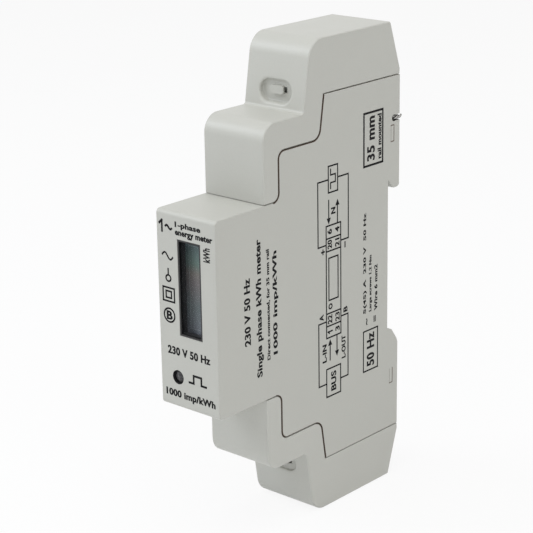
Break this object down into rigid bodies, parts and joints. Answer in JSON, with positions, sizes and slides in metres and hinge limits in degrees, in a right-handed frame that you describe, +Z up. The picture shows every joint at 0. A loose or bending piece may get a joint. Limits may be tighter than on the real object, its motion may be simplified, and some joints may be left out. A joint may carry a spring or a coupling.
{
  "type": "single-phase energy meter",
  "caption": "Narrow rail-mounted energy meter with a display, a pulse lamp, screw clamps under sealable stepped covers and a sprung rail clip.",
  "frame": {"origin": "middle of the rail seat, on the face that touches the rail", "axes": "+X across the narrow module, +Y out of the rear towards the rail, +Z up as it hangs; the display faces -Y"},
  "size_m": [0.0177, 0.0642, 0.1122],
  "materials": {
    "housing_grey": "fine spark-eroded texture",
    "lid_grey": "fine spark-eroded texture",
    "cover_grey": "fine spark-eroded texture",
    "bezel_black": "satin",
    "window_clear": "polished",
    "lcd_glass": "polarised glass",
    "strip_rubber": "matte",
    "led_lens": "tinted clear",
    "board_green": "solder resist",
    "chip_black": "moulded epoxy",
    "film_box": "moulded box",
    "varistor_blue": "dipped epoxy",
    "can_sleeve": "shrink sleeve",
    "resistor_grey": "cement coat",
    "crystal_can": "drawn can",
    "connector_black": "moulded",
    "cage_zinc": "zinc plated, folded",
    "screw_zinc": "zinc plated",
    "bar_copper": "tinned copper",
    "shunt_alloy": "resistance alloy",
    "divider_grey": "insulating sheet",
    "clip_grey": "glass-filled nylon",
    "spring_steel": "spring wire",
    "seal_wire": "drawn wire"
  },
  "bodies": {
    "case": {"board_connector": "connector_black", "bottom_power_divider": "divider_grey", "bottom_signal_divider": "divider_grey", "bus_transceiver": "chip_black", "case_body": "housing_grey", "crystal": "crystal_can", "current_shunt": "shunt_alloy", "display_board": "board_green", "display_window": "window_clear", "fusible_resistor": "resistor_grey", "isolation_converter": "chip_black", "lcd_bezel": "bezel_black", "lcd_glass": "lcd_glass", "left_contact_strip": "strip_rubber", "line_in_bar": "bar_copper", "line_out_bar": "bar_copper", "main_board": "board_green", "metering_chip": "chip_black", "microcontroller": "chip_black", "neutral_bar": "bar_copper", "pulse_led": "led_lens", "pulse_optocoupler": "chip_black", "rail_clip_spring": "spring_steel", "right_contact_strip": "strip_rubber", "seal_pin": "seal_wire", "side_lid": "lid_grey", "signal_tang_20": "bar_copper", "signal_tang_21": "bar_copper", "signal_tang_22": "bar_copper", "signal_tang_23": "bar_copper", "smoothing_capacitor": "can_sleeve", "supply_capacitor": "film_box", "surge_varistor": "varistor_blue", "top_power_divider": "divider_grey", "top_signal_divider": "divider_grey"},
    "top_cover": {"top_terminal_cover": "cover_grey"},
    "bottom_cover": {"bottom_terminal_cover": "cover_grey"},
    "rail_clip": {"rail_clip": "clip_grey"},
    "power_screw_4": {"power_screw_4": "screw_zinc"},
    "power_cage_4": {"power_cage_4": "cage_zinc"},
    "power_screw_6": {"power_screw_6": "screw_zinc"},
    "power_cage_6": {"power_cage_6": "cage_zinc"},
    "signal_screw_20": {"signal_screw_20": "screw_zinc"},
    "signal_cage_20": {"signal_cage_20": "cage_zinc"},
    "signal_screw_21": {"signal_screw_21": "screw_zinc"},
    "signal_cage_21": {"signal_cage_21": "cage_zinc"},
    "power_screw_1": {"power_screw_1": "screw_zinc"},
    "power_cage_1": {"power_cage_1": "cage_zinc"},
    "power_screw_3": {"power_screw_3": "screw_zinc"},
    "power_cage_3": {"power_cage_3": "cage_zinc"},
    "signal_screw_22": {"signal_screw_22": "screw_zinc"},
    "signal_cage_22": {"signal_cage_22": "cage_zinc"},
    "signal_screw_23": {"signal_screw_23": "screw_zinc"},
    "signal_cage_23": {"signal_cage_23": "cage_zinc"}
  },
  "joints": [
    {"name": "top_cover_slide", "type": "slide", "parent": "case", "child": "top_cover", "axis": [0, 0, 1], "range_m": [0, 0.03]},
    {"name": "bottom_cover_slide", "type": "slide", "parent": "case", "child": "bottom_cover", "axis": [0, 0, -1], "range_m": [0, 0.03]},
    {"name": "rail_clip_slide", "type": "slide", "parent": "case", "child": "rail_clip", "axis": [0, 0, -1], "range_m": [0, 0.004], "stiffness_N_per_m": 300, "springref_m": -0.01, "deforming": ["rail_clip_spring"]},
    {"name": "power_cage_4_lift", "type": "slide", "parent": "case", "child": "power_cage_4", "axis": [0, -1, 0], "range_m": [0, 0.0046]},
    {"name": "power_screw_4_turn", "type": "hinge", "parent": "case", "child": "power_screw_4", "pos_m": [0.004, -0.018, 0.0384], "axis": [0, 1, 0], "range_deg": [0, 2366.5]},
    {"name": "power_cage_6_lift", "type": "slide", "parent": "case", "child": "power_cage_6", "axis": [0, -1, 0], "range_m": [0, 0.0046]},
    {"name": "power_screw_6_turn", "type": "hinge", "parent": "case", "child": "power_screw_6", "pos_m": [-0.004, -0.018, 0.0384], "axis": [0, 1, 0], "range_deg": [0, 2366.5]},
    {"name": "signal_cage_20_lift", "type": "slide", "parent": "case", "child": "signal_cage_20", "axis": [0, -1, 0], "range_m": [0, 0.0028]},
    {"name": "signal_screw_20_turn", "type": "hinge", "parent": "case", "child": "signal_screw_20", "pos_m": [-0.004, -0.035, 0.0282], "axis": [0, 1, 0], "range_deg": [0, 2016.5]},
    {"name": "signal_cage_21_lift", "type": "slide", "parent": "case", "child": "signal_cage_21", "axis": [0, -1, 0], "range_m": [0, 0.0028]},
    {"name": "signal_screw_21_turn", "type": "hinge", "parent": "case", "child": "signal_screw_21", "pos_m": [0.004, -0.035, 0.0282], "axis": [0, 1, 0], "range_deg": [0, 2016.5]},
    {"name": "power_cage_1_lift", "type": "slide", "parent": "case", "child": "power_cage_1", "axis": [0, -1, 0], "range_m": [0, 0.0046]},
    {"name": "power_screw_1_turn", "type": "hinge", "parent": "case", "child": "power_screw_1", "pos_m": [-0.004, -0.018, -0.0384], "axis": [0, 1, 0], "range_deg": [0, 2366.5]},
    {"name": "power_cage_3_lift", "type": "slide", "parent": "case", "child": "power_cage_3", "axis": [0, -1, 0], "range_m": [0, 0.0046]},
    {"name": "power_screw_3_turn", "type": "hinge", "parent": "case", "child": "power_screw_3", "pos_m": [0.004, -0.018, -0.0384], "axis": [0, 1, 0], "range_deg": [0, 2366.5]},
    {"name": "signal_cage_22_lift", "type": "slide", "parent": "case", "child": "signal_cage_22", "axis": [0, -1, 0], "range_m": [0, 0.0028]},
    {"name": "signal_screw_22_turn", "type": "hinge", "parent": "case", "child": "signal_screw_22", "pos_m": [-0.004, -0.035, -0.0282], "axis": [0, 1, 0], "range_deg": [0, 2016.5]},
    {"name": "signal_cage_23_lift", "type": "slide", "parent": "case", "child": "signal_cage_23", "axis": [0, -1, 0], "range_m": [0, 0.0028]},
    {"name": "signal_screw_23_turn", "type": "hinge", "parent": "case", "child": "signal_screw_23", "pos_m": [0.004, -0.035, -0.0282], "axis": [0, 1, 0], "range_deg": [0, 2016.5]}
  ],
  "couplings": [
    {"joint": "power_screw_4_turn", "follows": "power_cage_4_lift", "rad_per_m": 8976},
    {"joint": "power_screw_6_turn", "follows": "power_cage_6_lift", "rad_per_m": 8976},
    {"joint": "signal_screw_20_turn", "follows": "signal_cage_20_lift", "rad_per_m": 12566},
    {"joint": "signal_screw_21_turn", "follows": "signal_cage_21_lift", "rad_per_m": 12566},
    {"joint": "power_screw_1_turn", "follows": "power_cage_1_lift", "rad_per_m": 8976},
    {"joint": "power_screw_3_turn", "follows": "power_cage_3_lift", "rad_per_m": 8976},
    {"joint": "signal_screw_22_turn", "follows": "signal_cage_22_lift", "rad_per_m": 12566},
    {"joint": "signal_screw_23_turn", "follows": "signal_cage_23_lift", "rad_per_m": 12566}
  ]
}
